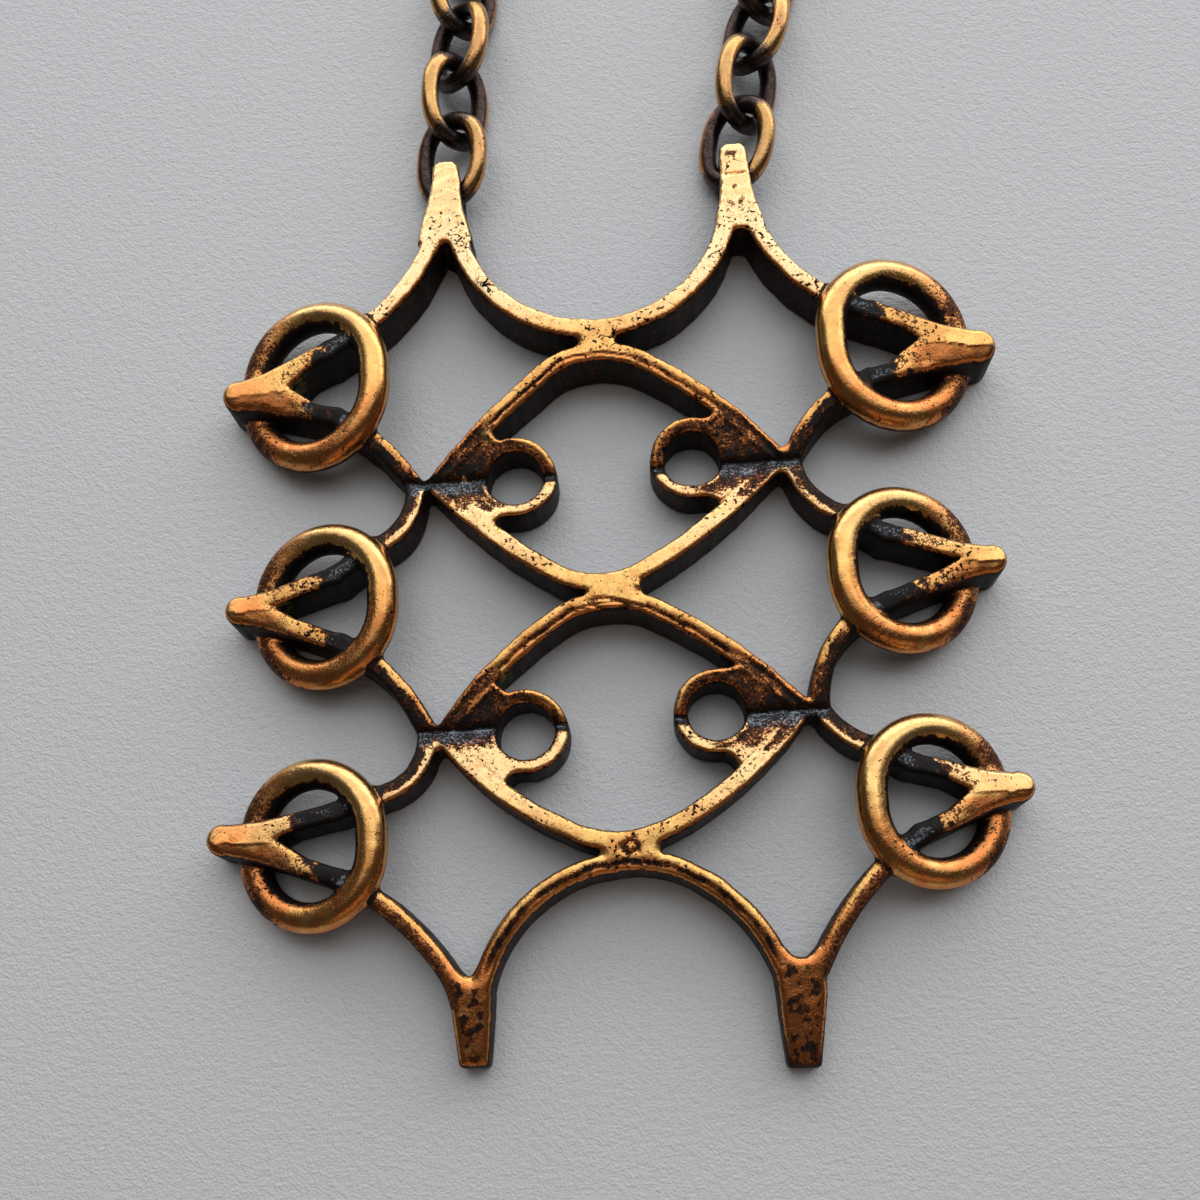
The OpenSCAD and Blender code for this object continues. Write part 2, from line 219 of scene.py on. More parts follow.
def blend_min(a, b, k):
    """Two shapes joined, with the inner corner between them filled to about k."""
    h = np.maximum(k - np.abs(a - b), 0) / k
    return np.minimum(a, b) - h * h * k / 4


def blend_max(a, b, k):
    """The common part of two shapes, with the outer corner between them worn off to about k."""
    return -blend_min(-a, -b, k)


def round_max(a, b, r):
    """The common part of two shapes, with the edge where they meet rounded to r."""
    outer = np.hypot(np.maximum(a + r, 0), np.maximum(b + r, 0)) - r
    return np.where((a > -r) & (b > -r), outer, np.maximum(a, b))


def ramp(low, high, v):
    """Nought below low, one above high, smooth between."""
    t = np.clip((v - low) / (high - low), 0, 1)
    return t * t * (3 - 2 * t)


def waves(x, y, scale, seed):
    """Smooth irregular waviness between about -1 and 1."""
    total = 0
    for i in range(5):
        angle = seed + i * 2.4
        f = (0.7 + 0.45 * i) / scale
        total = total + np.sin((x * math.cos(angle) + y * math.sin(angle)) * f + seed * (i + 1.3)) / 5
    return total * 1.6


def bars(x, y, runs, half):
    return np.min([line_distance(x, y, run) for run in runs], axis=0) - half


def spike_plan(x, y, tip, upper, lower, notch, radius):
    root = (tip[0] - math.copysign(radius, tip[0]), tip[1])
    rise = radius - 0.1
    arms = np.minimum(run_distance(x, y, upper, root), run_distance(x, y, lower, root)) - BAR
    point = np.hypot(x - root[0], y - root[1]) - radius
    plate = [(root[0], root[1] + rise), upper, notch, lower, (root[0], root[1] - rise)]
    plate = polygon_distance(x, y, plate)
    return np.minimum(np.minimum(arms, plate), point)


def plan(x, y):
    """Signed distance to the outline of the casting seen from above, without its side rings."""
    d = bars(x, y, LEFT_SIDE, BAR)
    d = np.minimum(d, bars(x, y, RIGHT_SIDE, BAR))
    wobble = 0.04 * waves(x, y, 1.0, 11.0) + 0.026 * waves(x, y, 0.38, 12.0)
    wobble = wobble + 0.014 * waves(x, y, 0.2, 14.0)
    wobble = wobble * (1 - 0.6 * ramp(31, 33, y))
    wobble = wobble * (1 - 0.7 * ramp(23, 26, -y)) * (1 - 0.85 * ramp(21, 23, np.abs(x)))
    for spike in SPIKES:
        d = blend_min(d, spike_plan(x, y, *spike), 0.35)
    lens = np.minimum(bars(x, y, UPPER_LENS, BAR), bars(x, y, LOWER_LENS, BAR))
    for shape in WEBS:
        lens = blend_min(lens, polygon_distance(x, y, shape), 0.25)
    for ex, ey in EYES:
        lens = blend_min(lens, np.hypot(x - ex, y - ey) - EYE_RADIUS, 0.5)
    d = blend_min(d, lens, 0.8)
    ends = bars(x, y, HANGING_ARC, 0.8)
    ends = np.minimum(ends, bars(x, y, FOOT_ARCH, BAR))
    d = blend_min(d, ends, 0.7 + 1.1 * ramp(26, 28.5, -y))
    for shape in BRIDGES:
        d = blend_min(d, polygon_distance(x, y, shape), 0.5)
    for shape in PRONGS:
        d = blend_min(d, polygon_distance(x, y, shape), 0.35)
    for shape in LEGS:
        d = blend_min(d, polygon_distance(x, y, shape) - 0.4, 0.3)
    for ex, ey in EYES:
        d = blend_max(d, EYE_HOLE - np.hypot(x - ex, y - ey), 0.1)
    return d + wobble


def arch(y, row, radius):
    """Height of a round crown over one row."""
    return CROWN_HEIGHT - radius + np.sqrt(np.maximum(radius ** 2 - (y - row) ** 2, 0))


def crown_line(y):
    """Height of the top seen from the side: three crowns with sharp valleys between them."""
    half = (CROWN_ROWS[0] - CROWN_ROWS[1]) / 2
    drop = CROWN_HEIGHT - VALLEY_HEIGHT
    radius = (half * half + drop * drop) / (2 * drop)
    height = np.full(y.shape, -9.0)
    for row in CROWN_ROWS:
        height = np.maximum(height, arch(y, row, radius))
    height = np.where(y > CROWN_ROWS[0], arch(y, CROWN_ROWS[0], PRONG_FALL), height)
    return np.where(y < CROWN_ROWS[2], arch(y, CROWN_ROWS[2], LEG_FALL), height)


def valley_of(y):
    """Distance along Y from the nearer of the two valleys of the crown line."""
    upper = (CROWN_ROWS[0] + CROWN_ROWS[1]) / 2
    lower = (CROWN_ROWS[2] + CROWN_ROWS[1]) / 2
    return np.where(y > CROWN_ROWS[1], y - upper, y - lower)


def side_of_arc(x, y, points):
    """Distance outwards from the middle line of an arc, far away beyond its two ends."""
    o, r = circle_through(*points)
    off = np.hypot(x - o[0], y - o[1]) - r
    return np.where(line_distance(x, y, points) < 1.0, off, 99.0)


def spot(x, y, at, radius):
    """One at a place, fading out round it."""
    return np.exp(-((x - at[0]) ** 2 + (y - at[1]) ** 2) / radius ** 2)


# One row for each shallow channel: bar, middle of the dark band, its half width, how dark it is,
# and how far the inner side drops
CHANNELS = [
    (UPPER_LENS[0], -0.22, 0.13, 0.95, 0.14),
    (UPPER_LENS[1], -0.25, 0.12, 0.40, 0.05),
    (UPPER_LENS[2], -0.15, 0.24, 0.72, 0.10),
    (LOWER_LENS[0], -0.18, 0.24, 0.85, 0.12),
    (LOWER_LENS[1], -0.30, 0.12, 0.55, 0.06),
    (LOWER_LENS[2], -0.18, 0.26, 0.85, 0.12),
    (FOOT_ARCH[0], -0.08, 0.32, 0.95, 0.10),
    (FOOT_ARCH[1], -0.10, 0.32, 0.95, 0.10),
]
# Bars between a ring and a corner, bright on their inner edge alone
DARK_BARS = LEFT_SIDE[1:7] + RIGHT_SIDE[1:7]
FOOT_BARS = [LEFT_SIDE[7], RIGHT_SIDE[7]]
# Small proud beads: place and radius
PALE_SPOTS = [((-11.25, 9.95), 0.24), ((2.15, -0.15), 0.3)]
# Ends of the seam across the right prong
SEAM = ((10.9, 34.4), (12.65, 34.4))
# Place and radius of each stain
STAINS = [(0.2, 20.8, 0.7), (11.6, 36.0, 0.95), (11.8, 33.2, 0.8), (11.7, 31.8, 0.9)]


# Each function from here to stains gives four values for a spot of the top: how far it drops, and how
# black, coppery and grey it is.

def channels(x, y):
    """The shallow channels along the arcs of the lenses and the foot."""
    sink, dark, copper_and_warm_reflection = np.zeros((3,) + x.shape)
    wander = 0.06 * waves(x, y, 0.6, 1.0)
    patchy = 0.82 + 0.25 * waves(x, y, 1.1, 5.0) + 0.25 * waves(x, y, 0.3, 25.0)
    for points, middle, half, strength, drop in CHANNELS:
        off = side_of_arc(x, y, points)
        band = np.exp(-(np.abs(off - middle + wander) / half) ** 3)
        inner = (1 - ramp(middle - 0.1, middle + 0.1, off + wander)) * (np.abs(off) < 1.2)
        sink = np.maximum(sink, drop * inner + 0.07 * band)
        dark = np.maximum(dark, np.clip(strength * band * patchy, 0, 1))
        copper_and_warm_reflection = np.maximum(copper_and_warm_reflection, 0.8 * inner)
    clear = ramp(3.6, 4.8, np.abs(valley_of(y))) * (1 - ramp(28.0, 30.0, -y))
    return sink * clear, dark * clear, copper_and_warm_reflection * clear, 0 * clear


def corners(x, y, d):
    """The four webbed corners with their eyes, blackened above the crease and bare below it, with a bright
    rim that is partly a painted highlight.
    """
    off = valley_of(y)
    reach = np.abs(x)
    above = off > 0
    wander = waves(x, y, 0.7, 7.0)
    first = np.where(x > 0, 2.4, np.where(y > 0, 1.6, 0.6))
    last = first + np.where(x > 0, 1.4, 1.6)
    low = ramp(first, last, -off + 0.6 * wander)
    low = low * (1 - 0.75 * ramp(0.7, 1.2, -d + 0.2 * wander) * (x < 0) * (y > 0))
    zone = (1 - ramp(3.6, 5.4, off)) * (1 - 0.85 * low) * ramp(5.8, 7.6, reach)
    zone = zone * (1 - ramp(15.0, 16.5, reach)) * (np.abs(off) < 7)
    level = 0.76 + 0.12 * wander + 0.2 * (1 - ramp(0.6, 1.6, np.abs(off)))
    # The rim stays bright: worn metal, with a painted highlight on the rounded edge.
    rim = ramp(-0.42, -0.16, d + 0.1 * wander)
    bright_rim = np.where(above, 0.75 + 0.25 * wander, 0.9) * ramp(0.3, 0.8, np.abs(off))
    dark = zone * level * (1 - rim * np.clip(bright_rim, 0, 1))
    copper_and_warm_reflection = 0.75 * zone * above
    inner = ramp(0.34, 0.72, -d) * zone * (reach < 14.5)
    sink = 0.13 * inner
    for ex, ey in EYES:
        rr = np.hypot(x - ex, y - ey) + 0.05 * wander
        band = ramp(EYE_HOLE, EYE_HOLE + 0.2, rr) * (1 - ramp(2.72, 2.9, rr))
        narrow = ramp(EYE_HOLE, EYE_HOLE + 0.1, rr) * (1 - ramp(2.5, 2.7, rr))
        dark = np.maximum(dark, np.where(above, 0.66 * band, 0.5 * narrow))
        copper_and_warm_reflection = np.maximum(copper_and_warm_reflection, 0.8 * band * above)
        sink = np.maximum(sink, 0.07 * band * above)
    hollow = spot(x, y, (-11.1, -11.0), 0.34)
    sink = sink + 0.1 * hollow
    dark = np.maximum(dark, hollow)
    return sink, dark, copper_and_warm_reflection, 0 * dark


def creases(x, y):
    """The stepped groove across each corner: a painted shadow in the groove, a painted grey glint along its
    lower lip, and grey speckle with painted glints below it.
    """
    off = valley_of(y) + 0.04 * waves(x, y, 0.8, 9.0)
    reach = np.abs(x)
    along_bars = ramp(3.1, 3.6, reach) * (1 - ramp(15.4, 16.4, reach))
    groove = np.exp(-np.abs((off - 0.1) / 0.24) ** 1.5) * along_bars
    # Painted shadow in the groove (band), and a painted highlight along its lower lip (glint).
    band = ramp(-0.85, -0.5, off) * (1 - ramp(0.1, 0.35, off)) * along_bars
    glint = np.exp(-((off + 0.12) / 0.14) ** 2) * along_bars
    below = ramp(-2.0, -0.8, off) * (1 - ramp(-0.4, 0.0, off)) * along_bars * (reach > 8.5)
    rough = 0.5 + 0.15 * waves(x, y, 0.5, 17.0)
    grey_and_glint = np.maximum(0.24 * band + rough * glint, rough * below)
    return 0.3 * groove, 1.2 * band, 0 * band, grey_and_glint


def spikes(x, y, d):
    """The spikes, with a ridge along each, a coppery lower facet that is partly a painted warm reflection,
    and their arms blackened under the rings with grey scuffs and painted glints.
    """
    sink, dark, copper_and_warm_reflection, grey_and_glint = np.zeros((4,) + x.shape)
    wander = waves(x, y, 0.5, 3.0)
    for (tip, _, _, notch, _), (cx, cy, high, wide), runs in zip(SPIKES, RINGS, RUBBED_RUNS):
        side = math.copysign(1, tip[0])
        beyond = (x - notch[0]) * side
        zone = ramp(-1.5, 0.5, beyond) * (np.abs(y - tip[1]) < 4.5) * (np.abs(x) > 22)
        t = np.clip((x - notch[0]) / (tip[0] - notch[0]), 0, 1)
        ridge = notch[1] + (tip[1] - notch[1]) * t - 0.35 + 0.08 * wander
        below = np.clip(ridge - y, 0, 1.4)
        sink = sink + zone * (0.2 * below + 0.04 * (below > 0) + 0.14 * np.exp(d / 0.3))
        # Copper on the lower facet, which faces -Y, is partly a painted warm reflection; the left tips get a
        # copper spot as well.
        copper_and_warm_reflection = np.maximum(copper_and_warm_reflection, zone * ramp(0.05, 0.5, below))
        copper_and_warm_reflection = np.maximum(copper_and_warm_reflection, (side < 0) * spot(x, y, (tip[0] + 1.9, tip[1] - 0.5), 1.8))
        dark = np.maximum(dark, zone * 0.3 * ramp(0.7, 1.2, below) * (beyond < 3))
        within = np.hypot(x - cx, np.maximum(np.abs(y - cy) - (high - wide), 0)) < wide - 0.3
        run = np.where(y > notch[1], *runs) - 0.7 * wander + 0.8 * waves(x, y, 0.28, 35.0)
        arm = (1 - ramp(-1.0, 1.0, beyond + run)) * within
        mixed = (1 - ramp(-0.8, 2.2, beyond + 0.5 * wander)) * within
        dark = np.maximum(dark, np.maximum(1.25 * arm, 0.42 * mixed))
        # Grey scuffs with painted glints on the blackened arms.
        scuff_and_glint = ramp(0.25, 0.5, -d) * ramp(-0.8, 0.3, waves(x, y, 0.7, 29.0))
        grey_and_glint = np.maximum(grey_and_glint, np.maximum(0.5 * arm, 0.3 * mixed) * scuff_and_glint)
    return sink, dark, copper_and_warm_reflection, grey_and_glint


def side_bars(x, y):
    """The bars at the sides, blackened on their outer half near a corner and coppery at the foot."""
    dark, copper_and_warm_reflection = np.zeros((2,) + x.shape)
    near_corner = (1 - ramp(5.0, 7.0, np.abs(valley_of(y)))) * ramp(14.0, 15.2, np.abs(x)) * (np.abs(x) < 22)
    wander = 0.12 * waves(x, y, 0.4, 2.0)
    for points in DARK_BARS:
        side = outward_offset(x, y, points)
        close = np.abs(side) < 1.0
        dark = np.maximum(dark, 0.9 * near_corner * close * ramp(-0.38, -0.05, side + wander))
    for points in FOOT_BARS:
        side = outward_offset(x, y, points)
        close = np.abs(side) < 1.2
        dark = np.maximum(dark, 0.55 * close * ramp(-0.42, -0.2, side))
        copper_and_warm_reflection = np.maximum(copper_and_warm_reflection, 0.9 * close * ramp(-0.3, 0.1, side))
    return 0 * dark, dark, copper_and_warm_reflection, 0 * dark


def legs(x, y, d):
    """The legs, coppery, and mottled black between their brighter rims."""
    face = ramp(28.6, 30.0, -y) * ramp(0.3, 0.6, -d)
    blotch = ramp(-0.1, 0.35, waves(x, y, 0.36, 8.0) + 0.6 * waves(x, y, 0.16, 15.0))
    copper_and_warm_reflection = ramp(24.0, 29.0, -y) * (1 - 0.5 * ramp(-0.35, -0.1, d))
    return 0 * d, 0.84 * face * blotch, copper_and_warm_reflection, 0 * d


def stains(x, y):
    """Broken grey-brown stains."""
    dark, grey_and_glint = np.zeros((2,) + x.shape)
    broken = ramp(-0.4, 0.5, waves(x, y, 0.28, 27.0))
    for cx, cy, size in STAINS:
        stain = spot(x, y, (cx, cy), size) * broken
        dark = np.maximum(dark, 0.66 * np.minimum(1.2 * stain, 1))
        grey_and_glint = np.maximum(grey_and_glint, 0.45 * stain)
    return 0 * dark, dark, 0 * dark, grey_and_glint


def marks(x, y):
    """A round pit above the foot, a lip at the middle junction and the seam: how deep and how black."""
    pit = np.hypot((x - 0.35) / 1.2, y + 20.35) + 0.14 * waves(x, y, 0.3, 6.0)
    lip = np.hypot((x + 0.3) / 3.3, y + 1.52 + 0.2 * x / 1.3)
    rows = [
        (np.exp(-((pit - 0.42) / 0.17) ** 2), 0.22, 0.9),
        (np.exp(-((lip - 0.4) / 0.12) ** 2), 0.12, 0.75),
        (np.exp(-(run_distance(x, y, *SEAM) / 0.11) ** 2), 0.08, 0.7),
    ]
    depth = sum(drop * mark for mark, drop, black in rows)
    return depth, np.max([black * mark for mark, drop, black in rows], 0)


def relief(x, y, d):
    """All layers of the relief together: the drop below the crown line, and how black, coppery and grey."""
    layers = [channels(x, y), corners(x, y, d), creases(x, y), spikes(x, y, d)]
    layers += [side_bars(x, y), legs(x, y, d), stains(x, y)]
    sink = sum(layer[0] for layer in layers)
    dark, copper_and_warm_reflection, grey_and_glint = [np.max([layer[i] for layer in layers], 0) for i in (1, 2, 3)]
    for at, size in PALE_SPOTS:
        bead = spot(x, y, at, size)
        sink = sink - 0.33 * bead + 0.1 * spot(x, y, at, 2 * size)
        dark = dark * (1 - ramp(0.25, 0.6, bead))
    depth, black = marks(x, y)
    sink = sink + depth
    dark = np.maximum(dark, black)
    foot = ramp(19.5, 23.0, -y)
    edge = 1 - np.clip(-d / BAR, 0, 1)
    sink = sink + 0.05 * np.exp(d / 0.25) + (0.03 + 0.2 * foot) * edge ** 2
    sink = sink + 0.028 * waves(x, y, 1.3, 4.0) + 0.014 * waves(x, y, 0.45, 2.0)
    sink = sink + 0.012 * ramp(30, 32, y) * np.sin(5.5 * y + 2.5 * waves(x, y, 1.2, 28.0))
    return sink, np.clip(dark, 0, 1.3), np.clip(copper_and_warm_reflection, 0, 1), np.clip(grey_and_glint, 0, 1)


# The casting as a field over a grid: negative inside the metal.

STEP = 0.165
FIELD_LOW = (-33.0, -38.2, -0.6)
FIELD_HIGH = (33.0, 39.2, 6.2)
# Radius of the casting's edges, above and below
TOP_EDGE = 0.36
FOOT_EDGE = 0.22


def ring_distance(x, y, z, ring):
    cx, cy, half_height, half_width = ring
    lean = RING_TILT if cx > 0 else -RING_TILT
    px, py, pz = x - cx, y - cy, z - RING_HEIGHT
    u = px * math.cos(lean) - pz * math.sin(lean)
    w = px * math.sin(lean) + pz * math.cos(lean)
    v = np.maximum(np.abs(py) - (half_height - half_width), 0)
    return np.hypot(np.hypot(u, v) - half_width, w) - RING_WIRE


def block(axes, low, high):
    """The part of the grid that holds the box from low to high: its slices and its coordinates."""
    cut = []
    for axis, start, stop in zip(axes, low, high):
        first, last = np.searchsorted(axis, (start, stop))
        cut.append(slice(max(first - 1, 0), last + 1))
    return tuple(cut), np.meshgrid(*[axis[part] for axis, part in zip(axes, cut)], indexing="ij")


def casting_field():
    axes = [np.arange(low, high, STEP) for low, high in zip(FIELD_LOW, FIELD_HIGH)]
    x, y = np.meshgrid(axes[0], axes[1], indexing="ij")
    outline = plan(x, y)
    top = crown_line(y) - relief(x, y, outline)[0]
    z = axes[2][None, None, :]
    field = round_max(outline[:, :, None], z - top[:, :, None], TOP_EDGE)
    field = round_max(field, -z + 0 * field, FOOT_EDGE).astype(np.float32)
    for ring in RINGS:
        cut, (gx, gy, gz) = block(axes, (ring[0] - 7.5, ring[1] - 8, -1), (ring[0] + 7.5, ring[1] + 8, 7))
        field[cut] = blend_min(field[cut], ring_distance(gx, gy, gz, ring), 0.5)
    for hx, hy in PRONG_HOLES:
        cut, (gx, gy, gz) = block(axes, (hx - 3, hy - 2.5, -1), (hx + 3, hy + 2.5, 7))
        hole = np.hypot(gy - hy, gz - PRONG_HOLE_HEIGHT) - PRONG_HOLE_RADIUS
        field[cut] = blend_max(field[cut], -hole, 0.25)
    return axes, np.maximum(field, -z.astype(np.float32))


def sample(axes, field, points):
    """The field and its slope at points, read between the grid's corners."""
    rel = np.stack([(points[:, i] - axes[i][0]) / STEP for i in range(3)], 1)
    rel = np.clip(rel, 0, np.array(field.shape) - 1.001)
    cell = rel.astype(int)
    t = rel - cell
    value = 0
    slope = np.zeros(points.shape)
    for i, j, k in np.ndindex(2, 2, 2):
        f = field[cell[:, 0] + i, cell[:, 1] + j, cell[:, 2] + k]
        wx, wy, wz = [t[:, n] if step else 1 - t[:, n] for n, step in enumerate((i, j, k))]
        value = value + f * wx * wy * wz
        slope[:, 0] += f * (2 * i - 1) * wy * wz
        slope[:, 1] += f * wx * (2 * j - 1) * wz
        slope[:, 2] += f * wx * wy * (2 * k - 1)
    return value, slope / STEP


def crossings(field, cells):
    """The mean place in the grid, for each cell, where its edges cross the surface."""
    added = np.zeros((len(cells), 3))
    hits = np.zeros(len(cells))
    for way, p, q in np.ndindex(3, 2, 2):
        a = np.zeros(3, int)
        a[(way + 1) % 3] = p
        a[(way + 2) % 3] = q
        b = a.copy()
        b[way] = 1
        fa = field[tuple((cells + a).T)]
        fb = field[tuple((cells + b).T)]
        crosses = (fa < 0) != (fb < 0)
        t = np.where(crosses, fa / np.where(crosses, fa - fb, 1), 0)
        crossing = a[None, :] + (b - a)[None, :] * t[:, None]
        added += crossing * crosses[:, None]
        hits += crosses
    return cells + added / hits[:, None]


def surface_of(axes, field):
    """Corners and four-sided faces of the surface where the field is nought."""
    inside = field < 0
    nx, ny, nz = field.shape
    count = np.zeros((nx - 1, ny - 1, nz - 1), np.int8)
    for i, j, k in np.ndindex(2, 2, 2):
        count += inside[i:nx - 1 + i, j:ny - 1 + j, k:nz - 1 + k]
    active = (count > 0) & (count < 8)
    cells = np.argwhere(active)
    number = np.full(active.shape, -1, np.int32)
    number[active] = np.arange(len(cells), dtype=np.int32)
    corners = np.array([a[0] for a in axes]) + STEP * crossings(field, cells)
    faces = []
    for way in range(3):
        one, two = (way + 1) % 3, (way + 2) % 3
        here = [slice(1, -1)] * 3
        here[way] = slice(0, -1)
        there = list(here)
        there[way] = slice(1, None)
        first, second = inside[tuple(here)], inside[tuple(there)]
        for outward in (True, False):
            spots = np.argwhere(first & ~second if outward else ~first & second)
            spots[:, one] += 1
            spots[:, two] += 1
            ring = []
            for p, q in ((-1, -1), (0, -1), (0, 0), (-1, 0)):
                at = spots.copy()
                at[:, one] += p
                at[:, two] += q
                ring.append(number[tuple(at.T)])
            quad = np.stack(ring, 1)
            faces.append(quad if outward else quad[:, ::-1])
    return corners, np.concatenate(faces)


def mesh_from(name, corners, faces, scale=MM):
    mesh = bpy.data.meshes.new(name)
    sides = faces.shape[1]
    mesh.vertices.add(len(corners))
    mesh.vertices.foreach_set("co", (corners * scale).astype(np.float32).ravel())
    mesh.loops.add(faces.size)
    mesh.loops.foreach_set("vertex_index", faces.astype(np.int32).ravel())
    mesh.polygons.add(len(faces))
    mesh.polygons.foreach_set("loop_start", np.arange(0, faces.size, sides, dtype=np.int32))
    mesh.update(calc_edges=True)
    mesh.validate()
    return mesh


def points_of(mesh):
    co = np.zeros(len(mesh.vertices) * 3, np.float32)
    mesh.vertices.foreach_get("co", co)
    return co.reshape(-1, 3).astype(float)


def add_object(name, data):
    o = bpy.data.objects.new(name, data)
    bpy.context.scene.collection.objects.link(o)
    return o


def thin_out(o, ratio, plain):
    """Thins an object's mesh to a share of its faces, mostly at the corners that are plain."""
    group = o.vertex_groups.new(name="plain")
    group.add(np.flatnonzero(plain).tolist(), 1.0, "REPLACE")
    thin = o.modifiers.new("thin", "DECIMATE")
    thin.ratio = ratio
    thin.vertex_group = group.name
    thin.vertex_group_factor = 0.0004
    bpy.context.view_layer.update()
    done = bpy.data.meshes.new_from_object(o.evaluated_get(bpy.context.evaluated_depsgraph_get()))
    o.modifiers.clear()
    o.data = done
    o.vertex_groups.clear()


def put_value(mesh, name, values):
    layer = mesh.attributes.new(name, "FLOAT", "POINT")
    layer.data.foreach_set("value", values.astype(np.float32))


PENDANT_TRIANGLES = 190000


def build_pendant():
    axes, field = casting_field()
    corners, faces = surface_of(axes, field)
    for _ in range(2):
        value, slope = sample(axes, field, corners)
        size = np.maximum((slope ** 2).sum(1), 0.2)
        corners = corners - slope * np.clip(value / size, -STEP, STEP)[:, None]
    corners[:, 2] = np.maximum(corners[:, 2], 0)
    slope = sample(axes, field, corners)[1]
    o = add_object("pendant_casting", mesh_from("pendant_casting", corners, faces, 1))
    ratio = PENDANT_TRIANGLES / (2 * len(faces))
    if ratio < 1:
        thin_out(o, ratio, (slope[:, 2] < 0.25) | (corners[:, 2] < 1.2))
    at = points_of(o.data)
    slope = sample(axes, field, at)[1]
    normal = slope / np.maximum(np.linalg.norm(slope, axis=1), 1e-6)[:, None]
    finish_casting(o.data, at, normal)
    o.data.transform(Matrix.Scale(MM, 4))
    o.data.shade_smooth()
    o.data.normals_split_custom_set_from_vertices(normal.tolist())
    return o


# Green traces on the webs and on the walls of two notches
GREEN_SPECKS = [(-8.9, 13.3), (-8.4, 5.4), (-8.6, -6.3), (-8.1, -15.4), (8.6, 5.6), (8.9, -15.2)]
GREEN_NOTCHES = [(-24.2, 18.0), (-25.8, 0.0)]
# Place and radius of each patch with hairline cracks
CRACKS = [
    (0.9, 20.6, 1.2), (-8.5, 25.8, 1.3), (11.7, 34.9, 0.9),
    (9.6, 27.4, 1.0), (0.3, -1.6, 1.1), (7.4, 15.5, 0.8),
]


def facing_north(y):
    """Distance along Y from the nearest crown row, more than nought on its far side."""
    rows = np.array(CROWN_ROWS)
    return y - rows[np.abs(y[:, None] - rows[None, :]).argmin(1)]


def finish_ring(ring, x, y, up, inward):
    """How bright, coppery and rough-skinned a side ring is. Its brightness is painted highlight and shade:
    brightest on the inner limb, darker on the outer limb, towards the bottom and on faces turned into the
    hole. Its copper along the lower part is a painted warm reflection.
    """
    side = math.copysign(1, ring[0])
    outness = np.clip((x - ring[0]) * side / ring[3], -1, 1)
    upness = np.clip((y - ring[1]) / ring[2], -1, 1)
    away = ramp(0.0, 0.8, outness)
    low = ramp(0.3, 0.9, -upness)
    # Painted shade: lean darkens faces turned into the hole, shaded darkens the outer limb and the lower
    # part; what stays bright is a painted highlight.
    lean = 0.85 + 0.35 * np.maximum(upness, 0) + 1.4 * np.maximum(outness, 0) ** 2
    shaded = 0.48 * ramp(0.45, 0.95, outness) + 0.15 * low * away
    shaded = shaded + 0.3 * low * ramp(0.2, 0.8, -inward) * ramp(-0.4, 0.3, outness)
    shaded = shaded + 0.22 * ramp(0.1, 0.5, outness) * ramp(0.1, 0.5, upness)
    ragged = 0.16 * waves(x, y, 0.3, 33.0) + 0.14 * waves(x, y, 0.14, 34.0)
    facing = up - lean * np.maximum(inward, 0) + ragged * ramp(-0.3, 0.4, inward)
    bright = ramp(-0.2, 0.3, facing) * (1.02 - shaded)
    streak = 0.65 + 0.35 * waves(x, y, 0.5, 21.0)
    # Painted warm reflection: copper along the lower part; the copper on the outer limb deepens its painted
    # shade.
    warm = ramp(-0.1, 0.5, -upness) * streak + 0.75 * ramp(0.1, 0.6, outness) * streak
    skin = 0.12 + 0.5 * away + 0.25 * low + 0.4 * ramp(0.1, 0.6, inward)
    return bright, warm, skin


